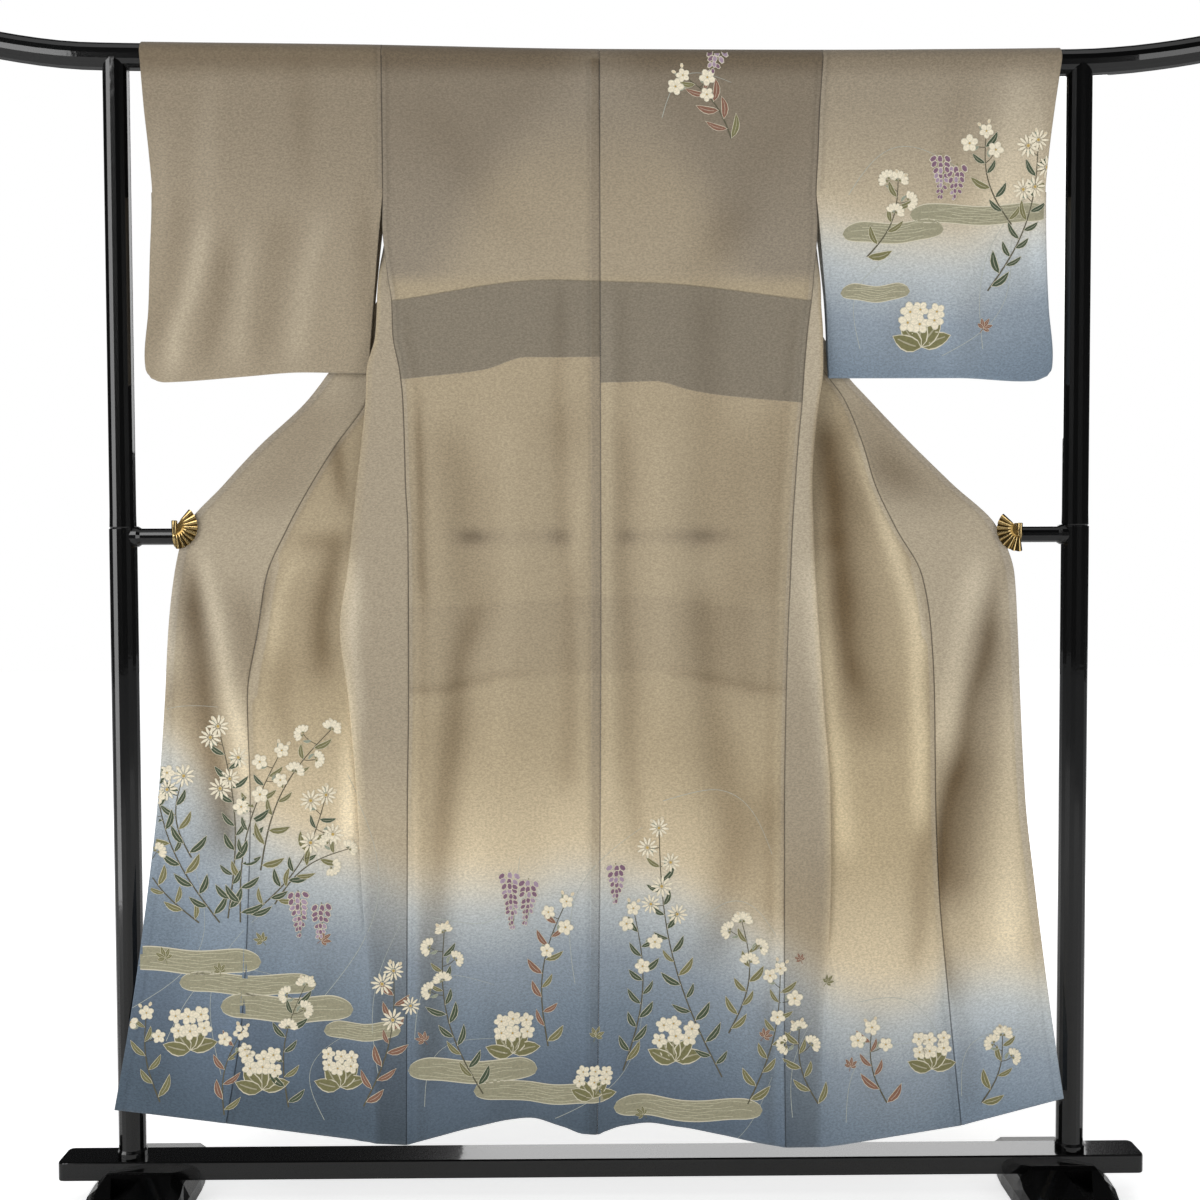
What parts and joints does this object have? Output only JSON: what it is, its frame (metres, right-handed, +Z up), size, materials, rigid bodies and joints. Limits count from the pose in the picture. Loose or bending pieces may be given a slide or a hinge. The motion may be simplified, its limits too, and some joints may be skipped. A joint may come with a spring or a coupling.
{
  "type": "kimono on a kimono stand",
  "caption": "Long silk kimono hung over a black lacquered stand, back outward, its fronts opened out and clipped to the crossbar, with a dyed hem and sleeve.",
  "frame": {"origin": "floor level, centre of the stand's bounding box", "axes": "+Z up, the kimono's back faces -Y, +X runs to the right of someone who looks at the back"},
  "size_m": [1.9214, 0.31, 1.7356],
  "materials": {
    "crepe_silk": "pebbled silk crepe, matt",
    "black_lacquer": "gloss black lacquer on tube",
    "gold_plate": "gold plated, satin"
  },
  "bodies": {
    "root": {"body_left": "crepe_silk", "body_right": "crepe_silk", "okumi_left": "crepe_silk", "okumi_right": "crepe_silk", "collar": "crepe_silk", "sleeve_left": "crepe_silk", "sleeve_right": "crepe_silk", "top_rail": "black_lacquer", "upright_upper_left": "black_lacquer", "upright_upper_right": "black_lacquer", "upright_lower_left": "black_lacquer", "upright_lower_right": "black_lacquer", "crossbar": "black_lacquer", "base_rail": "black_lacquer", "foot_left": "black_lacquer", "foot_right": "black_lacquer", "clip_left": "gold_plate", "clip_right": "gold_plate"}
  },
  "joints": []
}
